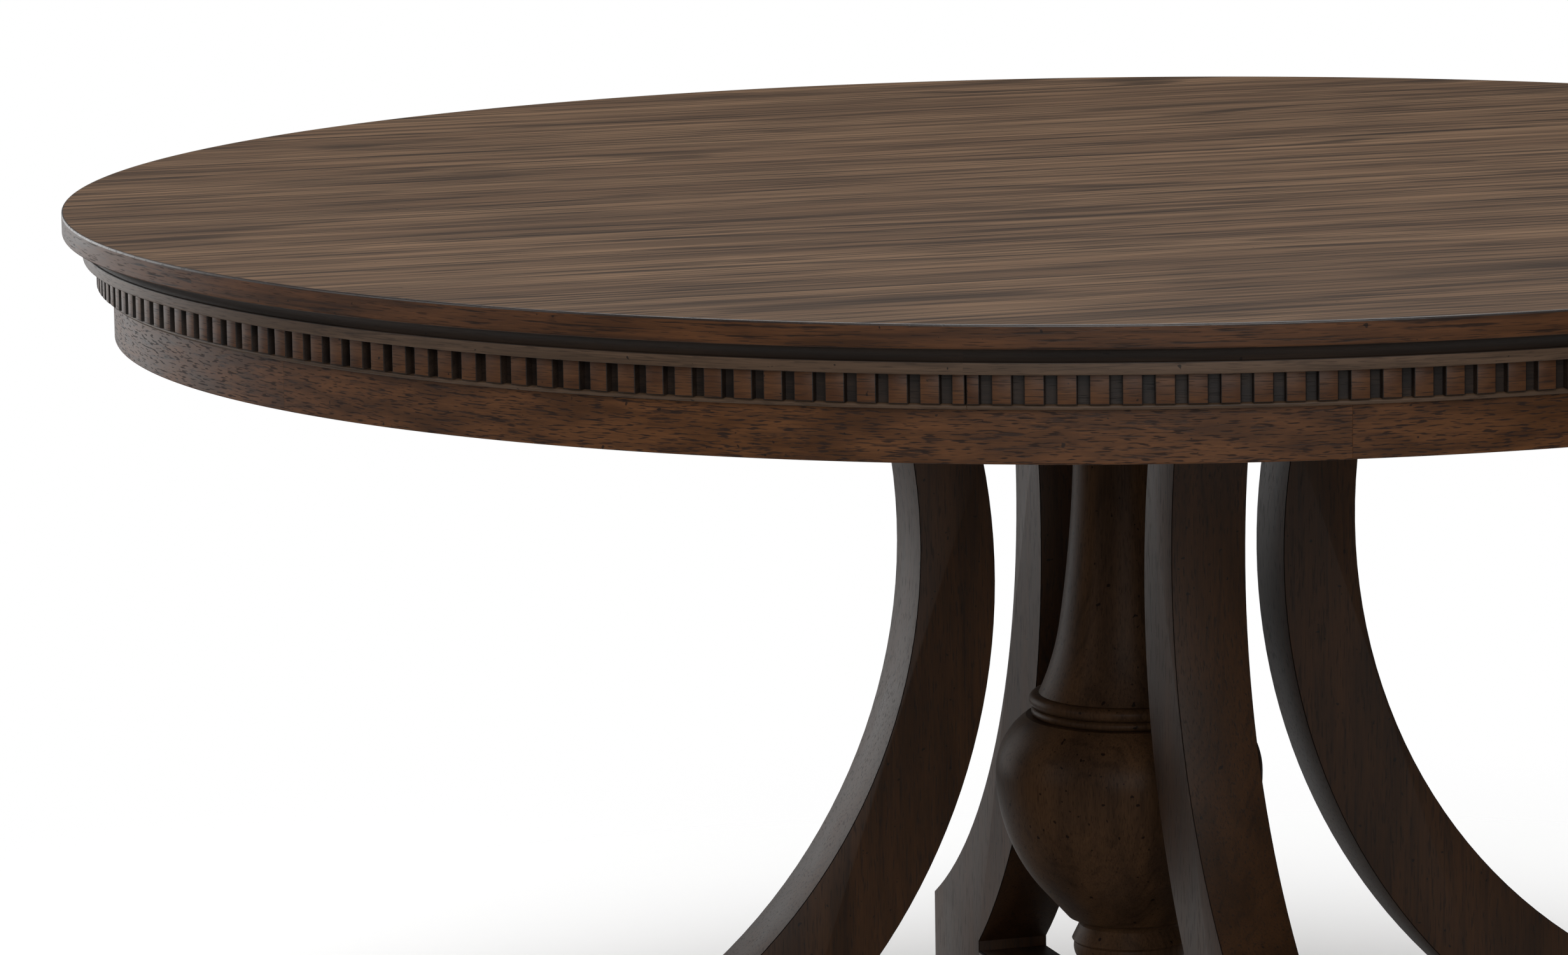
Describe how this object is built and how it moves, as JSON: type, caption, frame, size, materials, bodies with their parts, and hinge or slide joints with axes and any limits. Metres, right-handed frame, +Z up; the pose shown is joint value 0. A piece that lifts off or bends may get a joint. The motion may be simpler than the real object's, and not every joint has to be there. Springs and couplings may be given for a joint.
{
  "type": "round pedestal table",
  "caption": "Round dining table with a dentilled edge and deep apron on a turned urn column ringed by C-shaped plank legs, with crossed base rails and levelling feet.",
  "frame": {"origin": "on the floor under the middle of the round top, with the levelling feet screwed in", "axes": "+Z up along the turned column; +X and +Y each point along a pair of opposite legs, and the leg on -Y is called the front leg"},
  "size_m": [1.524, 1.524, 0.762],
  "materials": {
    "top_veneer": "satin lacquer over stained veneer",
    "edge_wood": "satin lacquer over dark stain",
    "moulding_wood": "satin lacquer over dark stain, glazed",
    "dentil_wood": "satin lacquer over dark stain, glazed in the recesses",
    "apron_wood": "satin lacquer over dark stain",
    "leg_wood": "satin lacquer over espresso stain",
    "column_wood": "satin lacquer over espresso stain",
    "hidden_timber": "planed, unfinished",
    "zinc_steel": "zinc plated",
    "foot_plastic": "moulded, matt"
  },
  "bodies": {
    "table": {"apron_1": "apron_wood", "apron_2": "apron_wood", "apron_3": "apron_wood", "apron_4": "apron_wood", "apron_5": "apron_wood", "apron_6": "apron_wood", "apron_blocks": "hidden_timber", "backing_veneer": "hidden_timber", "barrel_nuts": "zinc_steel", "base_rail_x": "leg_wood", "base_rail_y": "leg_wood", "batten_1": "hidden_timber", "batten_2": "hidden_timber", "batten_3": "hidden_timber", "batten_4": "hidden_timber", "bead_1": "moulding_wood", "bead_2": "moulding_wood", "bead_3": "moulding_wood", "bead_4": "moulding_wood", "bearer_x": "hidden_timber", "bearer_y": "hidden_timber", "column_base": "column_wood", "column_collar": "column_wood", "column_shaft": "column_wood", "column_urn": "column_wood", "cornice_1": "moulding_wood", "cornice_2": "moulding_wood", "cornice_3": "moulding_wood", "cornice_4": "moulding_wood", "dentil_strip_1": "dentil_wood", "dentil_strip_2": "dentil_wood", "dentil_strip_3": "dentil_wood", "dentil_strip_4": "dentil_wood", "edge_lipping_1": "edge_wood", "edge_lipping_2": "edge_wood", "edge_lipping_3": "edge_wood", "edge_lipping_4": "edge_wood", "leg_back": "leg_wood", "leg_bolts": "zinc_steel", "leg_dowels": "hidden_timber", "leg_front": "leg_wood", "leg_left": "leg_wood", "leg_right": "leg_wood", "leveller_inserts": "zinc_steel", "rod_nuts": "zinc_steel", "rod_washers": "zinc_steel", "tie_rod": "zinc_steel", "top_core": "hidden_timber", "top_screws": "zinc_steel", "top_veneer": "top_veneer"},
    "leveller_right": {"leveller_stud_right": "zinc_steel", "leveller_pad_right": "foot_plastic"},
    "leveller_back": {"leveller_stud_back": "zinc_steel", "leveller_pad_back": "foot_plastic"},
    "leveller_left": {"leveller_stud_left": "zinc_steel", "leveller_pad_left": "foot_plastic"},
    "leveller_front": {"leveller_stud_front": "zinc_steel", "leveller_pad_front": "foot_plastic"}
  },
  "joints": [
    {"name": "leveller_right_screw", "type": "slide", "parent": "table", "child": "leveller_right", "axis": [0, 0, -1], "range_m": [0, 0.01]},
    {"name": "leveller_back_screw", "type": "slide", "parent": "table", "child": "leveller_back", "axis": [0, 0, -1], "range_m": [0, 0.01]},
    {"name": "leveller_left_screw", "type": "slide", "parent": "table", "child": "leveller_left", "axis": [0, 0, -1], "range_m": [0, 0.01]},
    {"name": "leveller_front_screw", "type": "slide", "parent": "table", "child": "leveller_front", "axis": [0, 0, -1], "range_m": [0, 0.01]}
  ]
}
